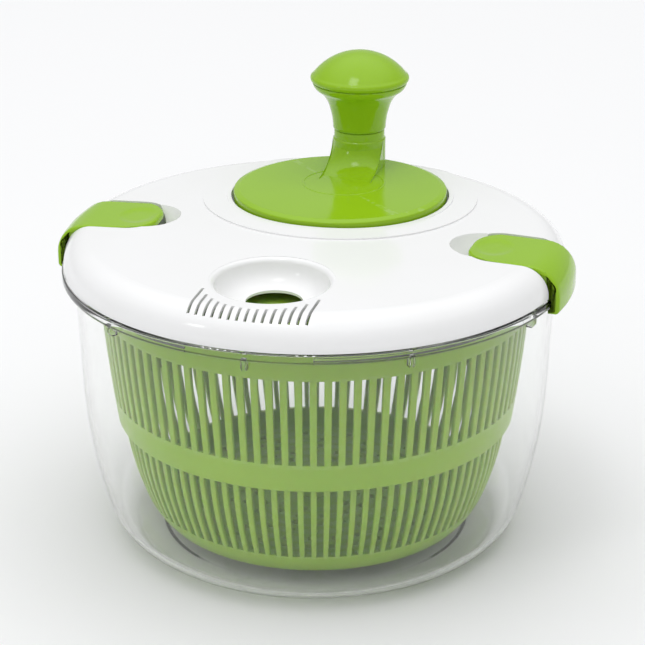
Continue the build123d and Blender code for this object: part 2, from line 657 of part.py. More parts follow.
def drive_pinion():
    """Small gear with its shaft, which ends in a square for the drive plate."""
    body = gear_solid(PINION_TEETH, PINION_LOW, GEAR_HIGH + 0.2)
    body += rod(DRIVE_SHAFT_R, PLATE_TOP + 0.1, PINION_LOW + 1)
    body += square(DRIVE_SQUARE, PLATE_LOW + 0.1, PLATE_TOP + 1)
    return body - rod(DRIVE_PILOT[0], PLATE_LOW - PAST, PLATE_LOW + DRIVE_PILOT[1])


def drive_bushing():
    """Flanged sleeve in the liner that the drive shaft turns in."""
    return tube(DRIVE_BUSH_R, DRIVE_SHAFT_R + RUN, LINER_LOW + 0.1, LINER_TOP + 1.2) + tube(
        DRIVE_BUSH_R + 2.5, DRIVE_SHAFT_R + RUN, LINER_TOP, LINER_TOP + 1.2
    )


def drive_plate():
    """Clear plate that turns the basket: drain holes and lugs that enter the basket's notches."""
    body = rod(PLATE_R, PLATE_LOW, PLATE_TOP)
    lug_low = BASKET_TOP - NOTCH_DEPTH + 1.0
    ring = tube(LUG_SPAN[1], LUG_SPAN[0], lug_low, PLATE_LOW + 0.5)
    radial = (LUG_SPAN[0] - PAST, LUG_SPAN[1] + PAST)
    wedge = block(radial, (-LUG_WIDTH / 2, LUG_WIDTH / 2), (lug_low, PLATE_TOP))
    body += [ring & part for part in around(wedge, LUG_COUNT)]
    cuts = [square(DRIVE_SQUARE + 2 * SNUG, BELOW_ALL, ABOVE_ALL)]
    for row in range(DRAIN_ROWS):
        hole = Pos(DRAIN_FIRST + DRAIN_PITCH * row, 0) * rod(DRAIN_R, BELOW_ALL, ABOVE_ALL)
        cuts += around(hole, DRAIN_COUNT, (row % 2) * 180.0 / DRAIN_COUNT)
    return body - cuts


# ---- latches ------------------------------------------------------------------------------
LATCH_OUT = 129.8
LATCH_TOP = 159.3
LATCH_ROUND = 15.0
HOOK_LOW = RIM_Z - 7.4
HOOK_TOP = RIM_Z - 5.2
HOOK_IN = 124.3
LATCH_INNER = 127.0            # inside radius of the drop, about the bowl's axis
ARM_UNDER = 155.4
COIL_R = 2.9
WIRE_R = 0.4
COIL_PITCH = 1.15
COIL_TURNS = 3.5
LEG = 5.5
SPRING_ROOM = 4.2              # half the gap between the latch's two bosses
BOSS_R = 4.0
WEB_HALF = 3.0
DISH_BALL = 40.0               # radius of the ball that shapes the thumb dish
DISH_DEPTH = 0.5
DISH_SHIFT = 11.5              # from the latch's tip to the middle of the dish
PIN_PAST = 6.2                 # how much longer the pin is than the latch is wide


def latch_part():
    """Latch on the +X side: an arm with a thumb dish, a drop outside the skirt and a hook."""
    outline = FilletPolyline(
        (LATCH_TIP, ARM_UNDER), (LATCH_TIP, LATCH_TOP), (LATCH_OUT, LATCH_TOP - 0.9), (LATCH_OUT, HOOK_LOW),
        (HOOK_IN, HOOK_LOW), (HOOK_IN, HOOK_TOP), (LATCH_INNER, HOOK_TOP), (LATCH_INNER, ARM_UNDER - 5),
        (LATCH_INNER - 4.0, ARM_UNDER),
        radius=[0.8, 1.2, LATCH_ROUND, 2.0, 0.5, 0, 0, 0, 0], close=True,
    )
    half = LATCH_WIDTH / 2
    body = turned(outline) & latch_plan(0, LATCH_OUT + PAST, BELOW_ALL, ABOVE_ALL)
    boss = Pos(PIVOT_X, 0, PIVOT_Z) * Rot(90, 0, 0) * Cylinder(BOSS_R, LATCH_WIDTH)
    web = block((PIVOT_X - WEB_HALF, PIVOT_X + WEB_HALF), (-half, half), (PIVOT_Z, ARM_UNDER + 0.6))
    body += (boss + web) - block((LATCH_TIP, LATCH_OUT), (-SPRING_ROOM, SPRING_ROOM), (BELOW_ALL, ARM_UNDER))
    dish = Pos(LATCH_TIP + DISH_SHIFT, 0, LATCH_TOP - DISH_DEPTH + DISH_BALL) * Sphere(DISH_BALL)
    pin_hole = Pos(PIVOT_X, 0, PIVOT_Z) * Rot(90, 0, 0) * Cylinder(PIN_R + RUN, 2 * LATCH_WIDTH)
    return body - dish - pin_hole


def latch_pin():
    """Steel pin that a latch swings on."""
    return Pos(PIVOT_X, 0, PIVOT_Z) * Rot(90, 0, 0) * Cylinder(PIN_R, LATCH_WIDTH + PIN_PAST)


def latch_spring():
    """Torsion spring on the pin, with both legs towards the lid's centre."""
    height = COIL_PITCH * COIL_TURNS
    coil = Helix(COIL_PITCH, height, COIL_R)
    heading = coil % 0
    section = Plane(origin=coil @ 0, z_dir=heading) * Circle(WIRE_R)
    wire = sweep(section, path=coil, is_frenet=True)
    leg = rod(WIRE_R, 0, LEG)
    foot = Plane(origin=coil @ 0, z_dir=heading * -1) * leg
    arm = Plane(origin=coil @ 1, z_dir=coil % 1) * leg
    spring = Pos(0, 0, -height / 2) * (wire + foot + arm)
    seat = Plane(origin=(PIVOT_X, 0, PIVOT_Z), x_dir=(0, 0, -1), z_dir=(0, -1, 0))
    return seat.location * spring


# ---- write every sub-part -----------------------------------------------------------------
save("bowl", bowl_part())
save("basket", basket_part())
save("basket_pivot_bush", pivot_bush())
save("lid_shell", lid_shell())
save("lid_liner", lid_liner())
lid_screw = Pos(SCREW_R, 0, LINER_LOW) * pan_screw(1.35, 10.0, 2.5, 1.7)
save("liner_screws", Compound(around(lid_screw, SCREW_COUNT, 45)))
save("crank_disc", crank_disc())
save("crank_bushing", crank_bushing())
save("crank_gear", crank_gear())
save("crank_washer", crank_washer())
save("crank_screw", Pos(0, CRANK_Y, WASHER_LOW) * pan_screw(1.95, 12.0, 3.6, 1.8))
save("knob_grip", knob_grip())
save("knob_cap", knob_cap())
save("knob_spindle", knob_spindle())
save("drive_pinion", drive_pinion())
save("drive_bushing", drive_bushing())
save("drive_plate", drive_plate())
save("drive_screw", Pos(0, 0, PLATE_LOW) * pan_screw(1.55, 9.0, 5.6, 2.0))
for node, shape in (("latch", latch_part()), ("latch_pin", latch_pin()), ("latch_spring", latch_spring())):
    right, left = at_latches(shape)
    save("right_" + node, right)
    save("left_" + node, left)
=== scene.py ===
"""Looks of a hand-cranked salad spinner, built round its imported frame."""

from __future__ import annotations

import json
import logging
from collections.abc import Callable
from dataclasses import dataclass, field
from enum import Enum
from math import cos, pi, radians, sin, tan

import bmesh
import bpy
import numpy as np
from mathutils import Matrix, Vector

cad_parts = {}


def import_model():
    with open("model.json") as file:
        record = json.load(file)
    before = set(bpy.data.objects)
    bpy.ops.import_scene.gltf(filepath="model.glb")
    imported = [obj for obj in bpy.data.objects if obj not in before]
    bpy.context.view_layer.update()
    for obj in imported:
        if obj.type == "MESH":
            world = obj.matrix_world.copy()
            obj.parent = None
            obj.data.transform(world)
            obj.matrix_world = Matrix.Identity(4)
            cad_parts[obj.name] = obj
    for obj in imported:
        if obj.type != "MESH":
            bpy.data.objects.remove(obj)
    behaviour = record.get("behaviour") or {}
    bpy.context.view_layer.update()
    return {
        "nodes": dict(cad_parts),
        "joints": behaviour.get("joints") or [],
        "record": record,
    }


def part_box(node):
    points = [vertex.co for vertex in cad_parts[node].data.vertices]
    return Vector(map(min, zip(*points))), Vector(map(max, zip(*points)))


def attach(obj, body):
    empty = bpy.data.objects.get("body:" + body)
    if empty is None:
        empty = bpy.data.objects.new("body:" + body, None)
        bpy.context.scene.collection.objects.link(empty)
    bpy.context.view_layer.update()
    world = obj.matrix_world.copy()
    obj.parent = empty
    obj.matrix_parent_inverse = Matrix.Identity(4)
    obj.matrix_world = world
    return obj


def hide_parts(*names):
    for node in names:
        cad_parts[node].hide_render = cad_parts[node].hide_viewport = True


LOG = logging.getLogger("salad_spinner")
MM = 0.001
Array = np.ndarray
Part = tuple[Array, list]


# ---- outlines -------------------------------------------------------------------------------
def rounded(points: list, radii: list | float, steps: int = 5, closed: bool = True) -> Array:
    """Outline with its corners rounded: each corner gives way to an arc that touches both of its runs.

    Args:
        points: corners as pairs of numbers.
        radii: one radius for each corner, or one for all.
        steps: runs of each arc.
        closed: whether the last corner joins the first.

    Returns:
        Points of the outline, one row each.
    """
    corners = np.asarray(points, float)
    count = len(corners)
    sizes = np.broadcast_to(np.asarray(radii, float), (count,))
    share = np.linspace(0.0, 1.0, steps + 1)[:, None]
    rows = []
    for i, (corner, size) in enumerate(zip(corners, sizes)):
        if size <= 0 or (not closed and i in (0, count - 1)):
            rows.append(corner[None])
            continue
        back = corners[i - 1] - corner
        ahead = corners[(i + 1) % count] - corner
        back /= np.linalg.norm(back)
        ahead /= np.linalg.norm(ahead)
        half = np.arccos(np.clip(back @ ahead, -1, 1)) / 2
        middle = (back + ahead) / np.linalg.norm(back + ahead)
        centre = corner + middle * size / np.sin(half)
        first = corner + back * size / np.tan(half) - centre
        last = corner + ahead * size / np.tan(half) - centre
        turn = pi - 2 * half
        arc = (np.sin((1 - share) * turn) * first + np.sin(share * turn) * last) / np.sin(turn)
        rows.append(centre + arc)
    return np.concatenate(rows)


def through(first: tuple, middle: tuple, last: tuple, steps: int = 16) -> Array:
    """Arc of the circle through three points, which is the circle at equal distance from all three.

    Args:
        first: start, as (radius, height).
        middle: a point on the way.
        last: end.
        steps: runs of the arc.

    Returns:
        Points from the first to the last.
    """
    a, b, c = (complex(*p) for p in (first, middle, last))
    w = (c - a) / (b - a)
    centre = (b - a) * (w - abs(w) ** 2) / (w - w.conjugate()) + a
    size = abs(a - centre)
    angles = np.angle([(p - centre) for p in (a, b, c)])
    lift = np.unwrap(angles)
    along = np.linspace(lift[0], lift[2], steps + 1)
    return np.stack([centre.real + size * np.cos(along), centre.imag + size * np.sin(along)], 1)


def run(*pieces: Array | list) -> Array:
    """Pieces of outline joined in one array, with repeated points left out."""
    rows = np.concatenate([np.atleast_2d(np.asarray(p, float)) for p in pieces])
    keep = np.concatenate([[True], np.linalg.norm(np.diff(rows, axis=0), axis=1) > 1e-6])
    return rows[keep]


# ---- surfaces -------------------------------------------------------------------------------
def grid_faces(rows: int, columns: int, wrap_rows: bool, wrap_columns: bool) -> Array:
    """Four-cornered faces between neighbours of a grid of points.

    Args:
        rows: points along the first parameter.
        columns: points along the second.
        wrap_rows: whether the last row joins the first.
        wrap_columns: whether the last column joins the first.

    Returns:
        One row of four point numbers for each face.
    """
    down = np.arange(rows - (not wrap_rows))
    across = np.arange(columns - (not wrap_columns))
    i, j = np.meshgrid(down, across, indexing="ij")
    right, up = (i + 1) % rows, (j + 1) % columns
    corners = [i * columns + j, right * columns + j, right * columns + up, i * columns + up]
    return np.stack([c.ravel() for c in corners], 1)


def lathe(outline: Array, centre: tuple = (0.0, 0.0), segments: int = 192, closed: bool = True) -> Part:
    """Full turn of an outline: each point of radius r at height z goes round the circle of radius r at z.

    Args:
        outline: points as (radius, height).
        centre: axis, as (x, y).
        segments: steps of the turn.
        closed: whether the outline's last point joins its first.

    Returns:
        Points and faces.
    """
    angle = np.linspace(0, 2 * pi, segments, endpoint=False)[:, None]
    radius, height = outline[:, 0], outline[:, 1]
    x = centre[0] + radius * np.cos(angle)
    y = centre[1] + radius * np.sin(angle)
    points = np.stack([x, y, np.broadcast_to(height, x.shape)], 2)
    return points.reshape(-1, 3), [grid_faces(segments, len(outline), True, closed)]


def prism(outline: Array, half: float, bevel: float, steps: int = 4) -> Part:
    """Outline in (across, up) carried along a line, and drawn in near both ends by a quarter round.

    At a quarter-round angle t the section stands bevel * (1 - sin t) short of the end and its outline is
    moved inwards along its own normals by bevel * (1 - cos t).

    Args:
        outline: closed outline, anticlockwise.
        half: half of the length along the line.
        bevel: radius of the round.
        steps: sections of each round.

    Returns:
        Points as (along, across, up), and faces with a cap at each end.
    """
    ahead = np.roll(outline, -1, 0) - np.roll(outline, 1, 0)
    normal = np.stack([ahead[:, 1], -ahead[:, 0]], 1)
    normal /= np.linalg.norm(normal, axis=1, keepdims=True)
    t = np.linspace(pi / 2, 0, steps + 1)
    along = np.concatenate([-half + bevel * (1 - np.sin(t)), half - bevel * (1 - np.sin(t[::-1]))])
    inset = np.concatenate([bevel * (1 - np.cos(t)), bevel * (1 - np.cos(t[::-1]))])
    flat = outline[None] - inset[:, None, None] * normal[None]
    place = np.broadcast_to(along[:, None, None], flat.shape[:2] + (1,))
    points = np.concatenate([place, flat], 2)
    count = len(outline)
    caps = [np.arange(count)[None, ::-1], np.arange(count)[None] + (len(along) - 1) * count]
    return points.reshape(-1, 3), [grid_faces(len(along), count, False, True), *caps]


def filled(points: Array, count: int, extra: int) -> Part:
    """Add sections across the flat middle of a prism, so that it can be shaped there.

    Args:
        points: the prism's points, section after section.
        count: points in a section.
        extra: sections to add.

    Returns:
        The prism's points and faces with the new sections.
    """
    sections = points.reshape(-1, count, 3)
    middle = len(sections) // 2
    share = np.linspace(0, 1, extra + 2)[1:-1, None, None]
    between = sections[middle - 1] * (1 - share) + sections[middle] * share
    rows = np.concatenate([sections[:middle], between, sections[middle:]])
    caps = [np.arange(count)[None, ::-1], np.arange(count)[None] + (len(rows) - 1) * count]
    return rows.reshape(-1, 3), [grid_faces(len(rows), count, False, True), *caps]


def moved(part: Part, matrix: Array | None = None, shift: tuple = (0, 0, 0)) -> Part:
    """A part turned by a matrix and then shifted.

    Args:
        part: points and faces.
        matrix: three rows of three, or None for no turn.
        shift: move along each axis, in millimetres.

    Returns:
        The moved part.
    """
    points, faces = part
    if matrix is not None:
        points = points @ np.asarray(matrix).T
    return points + np.asarray(shift, float), faces


def turned(part: Part, angle: float) -> Part:
    """A part turned about the upright axis.

    Args:
        part: points and faces.
        angle: degrees, anticlockwise from above.

    Returns:
        The turned part.
    """
    c, s = cos(radians(angle)), sin(radians(angle))
    return moved(part, [[c, -s, 0], [s, c, 0], [0, 0, 1]])


def make(name: str, parts: list[Part], smooth: float = 40.0, merge: float = 1e-7) -> bpy.types.Object:
    """Mesh object from parts in millimetres, in metres and with its normals outwards.

    Args:
        name: piece's name.
        parts: points and faces of each closed shell.
        smooth: edges that turn by more than this many degrees stay sharp.
        merge: points nearer than this, in metres, become one.

    Returns:
        The object, at the origin.
    """
    mesh = bpy.data.meshes.new(name)
    points, faces, start = [], [], 0
    for spots, groups in parts:
        points.append(spots * MM)
        for group in groups:
            faces += (group + start).tolist()
        start += len(spots)
    mesh.from_pydata(np.concatenate(points).tolist(), [], faces)
    work = bmesh.new()
    work.from_mesh(mesh)
    bmesh.ops.remove_doubles(work, verts=work.verts, dist=merge)
    bmesh.ops.recalc_face_normals(work, faces=work.faces)
    work.to_mesh(mesh)
    work.free()
    mesh.shade_smooth()
    mesh.set_sharp_from_angle(angle=radians(smooth))
    piece = bpy.data.objects.new(name, mesh)
    bpy.context.scene.collection.objects.link(piece)
    return piece


# ---- shared shader effects ------------------------------------------------------------------
def group_of(name: str, inputs: dict, outputs: dict) -> tuple:
    """Empty node group with named sockets.

    Args:
        name: group's name.
        inputs: socket names with their default numbers.
        outputs: socket names with their kinds, such as NodeSocketFloat.

    Returns:
        The group, its input node and its output node.
    """
    tree = bpy.data.node_groups.new(name, "ShaderNodeTree")
    for label, value in inputs.items():
        socket = tree.interface.new_socket(label, in_out="INPUT", socket_type="NodeSocketFloat")
        socket.default_value = value
    for label, kind in outputs.items():
        tree.interface.new_socket(label, in_out="OUTPUT", socket_type=kind)
    return tree, tree.nodes.new("NodeGroupInput"), tree.nodes.new("NodeGroupOutput")


def noise(tree: bpy.types.NodeTree, scale: float, detail: float) -> bpy.types.Node:
    """Noise on the piece's own coordinates.

    Args:
        tree: where the nodes go.
        scale: features per metre.
        detail: octaves of finer noise.

    Returns:
        The noise node.
    """
    place = tree.nodes.new("ShaderNodeTexCoord")
    node = tree.nodes.new("ShaderNodeTexNoise")
    node.inputs["Scale"].default_value = scale
    node.inputs["Detail"].default_value = detail
    tree.links.new(place.outputs["Object"], node.inputs["Vector"])
    return node


def ranged(tree: bpy.types.NodeTree, value: bpy.types.NodeSocket, low: float, high: float) -> bpy.types.Node:
    """Value between two limits spread smoothly over 0 to 1.

    Args:
        tree: where the node goes.
        value: socket to read.
        low: value that gives 0.
        high: value that gives 1.

    Returns:
        The node, whose output is Result.
    """
    node = tree.nodes.new("ShaderNodeMapRange")
    node.interpolation_type = "SMOOTHSTEP"
    node.inputs["From Min"].default_value = low
    node.inputs["From Max"].default_value = high
    tree.links.new(value, node.inputs["Value"])
    return node


def moulding_group() -> bpy.types.NodeTree:
    """Moulded plastic: roughness that drifts over the surface, a fine grain and slow shade.

    Returns:
        Group with Roughness, Height and Shade outputs.
    """
    tree, feed, out = group_of(
        "moulding",
        {"Base Roughness": 0.15, "Spread": 0.05},
        {"Roughness": "NodeSocketFloat", "Height": "NodeSocketFloat", "Shade": "NodeSocketFloat"},
    )
    slow = noise(tree, 14.0, 2.0)
    medium = noise(tree, 160.0, 3.0)
    fine = noise(tree, 1400.0, 2.0)
    drift = ranged(tree, medium.outputs["Fac"], 0.35, 0.65)
    scaled = tree.nodes.new("ShaderNodeMath")
    scaled.operation = "MULTIPLY_ADD"
    tree.links.new(drift.outputs["Result"], scaled.inputs[0])
    tree.links.new(feed.outputs["Spread"], scaled.inputs[1])
    tree.links.new(feed.outputs["Base Roughness"], scaled.inputs[2])
    tree.links.new(scaled.outputs["Value"], out.inputs["Roughness"])
    tree.links.new(fine.outputs["Fac"], out.inputs["Height"])
    shade = ranged(tree, slow.outputs["Fac"], 0.3, 0.7)
    tree.links.new(shade.outputs["Result"], out.inputs["Shade"])
    return tree


def painted_highlight_group() -> bpy.types.NodeTree:
    """Painted edge highlights: a mask that is 1 on sharp outside edges, broken up by a noise.

    Returns:
        Group with a Mask output.
    """
    tree, feed, out = group_of("painted_edge_highlights", {"Amount": 0.3}, {"Mask": "NodeSocketFloat"})
    shape = tree.nodes.new("ShaderNodeNewGeometry")
    # painted highlight: sharp outside edges are picked out by their pointiness
    edge = ranged(tree, shape.outputs["Pointiness"], 0.515, 0.58)
    speck = ranged(tree, noise(tree, 320.0, 4.0).outputs["Fac"], 0.35, 0.6)
    both = tree.nodes.new("ShaderNodeMath")
    both.operation = "MULTIPLY"
    tree.links.new(edge.outputs["Result"], both.inputs[0])
    tree.links.new(speck.outputs["Result"], both.inputs[1])
    level = tree.nodes.new("ShaderNodeMath")
    level.operation = "MULTIPLY"
    tree.links.new(both.outputs["Value"], level.inputs[0])
    tree.links.new(feed.outputs["Amount"], level.inputs[1])
    tree.links.new(level.outputs["Value"], out.inputs["Mask"])
    return tree


# ---- finishes -------------------------------------------------------------------------------
class Surface(Enum):
    """How smooth a mould leaves plastic: base roughness and how far it drifts."""

    POLISHED = (0.09, 0.05)
    SATIN = (0.30, 0.08)
    NATURAL = (0.42, 0.10)


@dataclass(frozen=True)
class Shared:
    """Shader groups that several finishes use."""

    moulding: bpy.types.NodeTree
    painted_highlight: bpy.types.NodeTree


def place_group(tree: bpy.types.NodeTree, group: bpy.types.NodeTree, **values: float) -> bpy.types.Node:
    """Group node in a material, with its own values."""
    node = tree.nodes.new("ShaderNodeGroup")
    node.node_tree = group
    for label, value in values.items():
        node.inputs[label.replace("_", " ")].default_value = value
    return node


def blank(name: str) -> tuple:
    """New material with its Principled shader.

    Args:
        name: material's name.

    Returns:
        The material, its node tree and the Principled node.
    """
    material = bpy.data.materials.new(name)
    material.use_nodes = True
    return material, material.node_tree, material.node_tree.nodes["Principled BSDF"]


@dataclass(frozen=True)
class Plastic:
    """Solid moulded plastic in one colour with a slightly deeper tone, and a painted highlight on its sharp
    edges.
    """

    name: str
    colour: tuple
    deep: tuple
    surface: Surface
    grain: float = 0.00002
    shine: float = 0.5
    glow: float = 0.0
    # strength of the painted highlight on sharp edges
    painted_highlight: float = 0.25

    def build(self, shared: Shared) -> bpy.types.Material:
        """Material of the finish.

        Args:
            shared: shader groups.

        Returns:
            The material.
        """
        material, tree, shader = blank(self.name)
        rough, spread = self.surface.value
        mould = place_group(tree, shared.moulding, Base_Roughness=rough, Spread=spread)
        highlight_mask = place_group(tree, shared.painted_highlight, Amount=self.painted_highlight)
        tone = tree.nodes.new("ShaderNodeMix")
        tone.data_type = "RGBA"
        tone.inputs["A"].default_value = (*self.colour, 1)
        tone.inputs["B"].default_value = (*self.deep, 1)
        tree.links.new(mould.outputs["Shade"], tone.inputs["Factor"])
        # painted highlight: a paler colour mixed in along sharp outside edges
        light = tree.nodes.new("ShaderNodeMix")
        light.data_type = "RGBA"
        pale = tuple(min(1.0, c * 0.75 + 0.25) for c in self.colour)
        light.inputs["B"].default_value = (*pale, 1)
        tree.links.new(highlight_mask.outputs["Mask"], light.inputs["Factor"])
        tree.links.new(tone.outputs["Result"], light.inputs["A"])
        tree.links.new(light.outputs["Result"], shader.inputs["Base Color"])
        tree.links.new(mould.outputs["Roughness"], shader.inputs["Roughness"])
        bump = tree.nodes.new("ShaderNodeBump")
        bump.inputs["Strength"].default_value = 0.25
        bump.inputs["Distance"].default_value = self.grain
        tree.links.new(mould.outputs["Height"], bump.inputs["Height"])
        tree.links.new(bump.outputs["Normal"], shader.inputs["Normal"])
        shader.inputs["Specular IOR Level"].default_value = self.shine
        shader.inputs["IOR"].default_value = 1.5
        shader.inputs["Subsurface Weight"].default_value = self.glow
        shader.inputs["Subsurface Scale"].default_value = 0.004
        return material


@dataclass(frozen=True)
class ClearPlastic:
    """Clear moulded plastic that lets lamps through."""

    name: str
    tint: tuple
    roughness: float = 0.02

    def build(self, shared: Shared) -> bpy.types.Material:
        """Material of the finish.

        Args:
            shared: shader groups.

        Returns:
            The material.
        """
        material, tree, shader = blank(self.name)
        mould = place_group(tree, shared.moulding, Base_Roughness=self.roughness, Spread=0.02)
        shader.inputs["Base Color"].default_value = (*self.tint, 1)
        shader.inputs["Transmission Weight"].default_value = 1.0
        shader.inputs["IOR"].default_value = 1.46
        tree.links.new(mould.outputs["Roughness"], shader.inputs["Roughness"])
        ray = tree.nodes.new("ShaderNodeLightPath")
        through_it = tree.nodes.new("ShaderNodeBsdfTransparent")
        through_it.inputs["Color"].default_value = (*self.tint, 1)
        either = tree.nodes.new("ShaderNodeMixShader")
        tree.links.new(ray.outputs["Is Shadow Ray"], either.inputs["Fac"])
        tree.links.new(shader.outputs["BSDF"], either.inputs[1])
        tree.links.new(through_it.outputs["BSDF"], either.inputs[2])
        tree.links.new(either.outputs["Shader"], tree.nodes["Material Output"].inputs["Surface"])
        return material


@dataclass(frozen=True)
class Steel:
    """Stainless steel with fine turning marks."""

    name: str
    colour: tuple
    roughness: float

    def build(self, shared: Shared) -> bpy.types.Material:
        """Material of the finish.

        Args:
            shared: shader groups.

        Returns:
            The material.
        """
        material, tree, shader = blank(self.name)
        mould = place_group(tree, shared.moulding, Base_Roughness=self.roughness, Spread=0.12)
        shader.inputs["Base Color"].default_value = (*self.colour, 1)
        shader.inputs["Metallic"].default_value = 1.0
        tree.links.new(mould.outputs["Roughness"], shader.inputs["Roughness"])
        marks = noise(tree, 90.0, 2.0)
        stretch = tree.nodes.new("ShaderNodeMapping")
        stretch.inputs["Scale"].default_value = (1.0, 1.0, 40.0)
        place = tree.nodes.new("ShaderNodeTexCoord")
        tree.links.new(place.outputs["Object"], stretch.inputs["Vector"])
        tree.links.new(stretch.outputs["Vector"], marks.inputs["Vector"])
        bump = tree.nodes.new("ShaderNodeBump")
        bump.inputs["Strength"].default_value = 0.3
        bump.inputs["Distance"].default_value = 0.00003
        tree.links.new(marks.outputs["Fac"], bump.inputs["Height"])
        tree.links.new(bump.outputs["Normal"], shader.inputs["Normal"])
        return material


@dataclass
class Palette:
    """Every finish of the object, by the record's material slot."""

    slots: dict = field(default_factory=dict)

    def build(self) -> None:
        """Make the shared groups and one material for each slot."""
        shared = Shared(moulding_group(), painted_highlight_group())
        finishes = {
            "clear_plastic": ClearPlastic("clear_bowl_plastic", (0.985, 0.99, 0.985)),
            "green_satin": Plastic(
                "green_basket_plastic", (0.37, 0.60, 0.055), (0.34, 0.57, 0.048), Surface.SATIN,
                shine=0.35, glow=0.2),
            "green_gloss": Plastic(
                "green_gloss_plastic", (0.275, 0.49, 0.010), (0.26, 0.47, 0.008), Surface.POLISHED,
                grain=0.00001, shine=0.32),
            "white_gloss": Plastic(
                "white_lid_plastic", (0.86, 0.86, 0.86), (0.845, 0.845, 0.84), Surface.POLISHED,
                grain=0.00001, painted_highlight=0.0),
            "acetal": Plastic("natural_acetal", (0.80, 0.79, 0.74), (0.76, 0.75, 0.70), Surface.NATURAL),
            "steel": Steel("turned_steel", (0.60, 0.61, 0.62), 0.25),
            "spring_wire": Steel("spring_steel", (0.48, 0.49, 0.51), 0.32),
        }
        for slot, finish in finishes.items():
            self.slots[slot] = finish.build(shared)

    def dress(self, piece: bpy.types.Object, slot: str, body: str, *nodes: str) -> bpy.types.Object:
        """Give a new piece its finish, its body and the CAD nodes that it stands for.

        Args:
            piece: the new piece.
            slot: material slot of the record.
            body: body that it moves with.
            nodes: nodes that it replaces.

        Returns:
            The piece.
        """
        piece.data.materials.clear()
        piece.data.materials.append(self.slots[slot])
        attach(piece, body)
        if nodes:
            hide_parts(*nodes)
        LOG.info("%s: %d faces on %s", piece.name, len(piece.data.polygons), body)
        return piece

    def dress_node(self, node: bpy.types.Object, slot: str) -> None:
        """Give a carried-over node its finish."""
        node.data.materials.clear()
        node.data.materials.append(self.slots[slot])
        LOG.info("%s: carried over, %s", node.name, slot)


# ---- bowl -----------------------------------------------------------------------------------
@dataclass
class Bowl:
    """Clear bowl: one surface from the pivot pin over the rim to the underside, with ribs and nubs."""

    wall: float = 2.5
    side_radius: float = 266.0
    side_start: float = 2.0
    side_end: float = 16.7
    side_top: tuple = (118.0, 84.0)
    flange: float = 126.0
    flange_gap: float = 0.3
    flange_low: float = 4.4
    floor: float = 4.6
    pin: float = 3.2
    pin_top: float = 19.0
    foot: float = 80.0
    ribs: int = 10
    rib_half: float = 1.35

    def side(self, inset: float, low: float, top: float) -> Array:
        """Side of the bowl from a height up to the rim, moved inwards by an inset.

        Two arcs that touch, and a straight run above them: the long one turns from side_start to
        side_end degrees from upright, and the corner goes on from there to level.

        Args:
            inset: distance inwards from the outside.
            low: height where the side starts.
            top: height where it ends.

        Returns:
            Points as (radius, height), from the bottom up.
        """
        a, b = radians(self.side_start), radians(self.side_end)
        centre = np.array(self.side_top) + self.side_radius * np.array([-cos(a), sin(a)])
        join = centre + self.side_radius * np.array([cos(b), -sin(b)])
        corner = join[1] / (1 - sin(b))
        middle = np.array([join[0] - corner * cos(b), corner])
        size = corner - inset
        end = np.arcsin((corner - low) / size)
        t = np.linspace(end, b, 22)
        turn = middle + size * np.stack([np.cos(t), -np.sin(t)], 1)
        t = np.linspace(b, a, 22)
        long_turn = centre + (self.side_radius - inset) * np.stack([np.cos(t), -np.sin(t)], 1)
        last = long_turn[-1]
        lip = [last[0] + (top - last[1]) * tan(a), top]
        return run(turn, long_turn, [lip])

    def outline(self, rim: float) -> Array:
        """Outline from the top of the pivot pin, over the rim, to the middle of the underside.

        Args:
            rim: height of the rim.

        Returns:
            Points as (radius, height).
        """
        high, low = rim - self.flange_gap, rim - self.flange_low
        inner = self.side(self.wall, self.floor, high)
        outer = self.side(0.0, 0.0, low)[::-1]
        pin = rounded([(0, self.pin_top), (self.pin, self.pin_top), (self.pin, 8.6), (5.0, 8.6), (11.0, 5.6),
                       (16.0, self.floor), inner[0]], [0, 1.0, 0.4, 0.6, 4.0, 4.0, 0], closed=False)
        over = rounded([inner[-2], inner[-1], (self.flange, high), (self.flange, low), outer[0], outer[1]],
                       [0, 0.6, 0.9, 0.9, 1.0, 0], closed=False)
        under = rounded([outer[-2], outer[-1], (self.foot, 0.0), (self.foot - 1.5, 2.1), (0, 2.1)],
                        [0, 0, 1.0, 0.8, 0], closed=False)
        return run(pin, inner[1:-2], over, outer[2:-2], under)

    def build(self, palette: Palette) -> None:
        """Make the bowl and dress it."""
        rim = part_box("bowl")[1].z / MM - 0.5
        parts = [lathe(self.outline(rim), segments=288, closed=False)]
        rib = rounded([(118.9, rim - 10.4), (122.4, rim - 10.4), (123.8, rim - 8.6), (123.8, rim - 4.1),
                       (118.9, rim - 4.1)], [0.3, 0.8, 0.8, 0.3, 0.3])
        nub = rounded([(122.6, rim - 0.6), (125.2, rim - 0.6), (125.2, rim + 0.5), (122.6, rim + 0.5)],
                      [0.1, 0.1, 0.4, 0.4])
        for i in range(self.ribs):
            turn = 180 + 360 * i / self.ribs
            parts.append(turned(prism(rib, self.rib_half, 0.4), turn))
            parts.append(turned(prism(nub, self.rib_half, 0.3), turn))
        palette.dress(make("bowl_shell", parts), "clear_plastic", "bowl", "bowl")


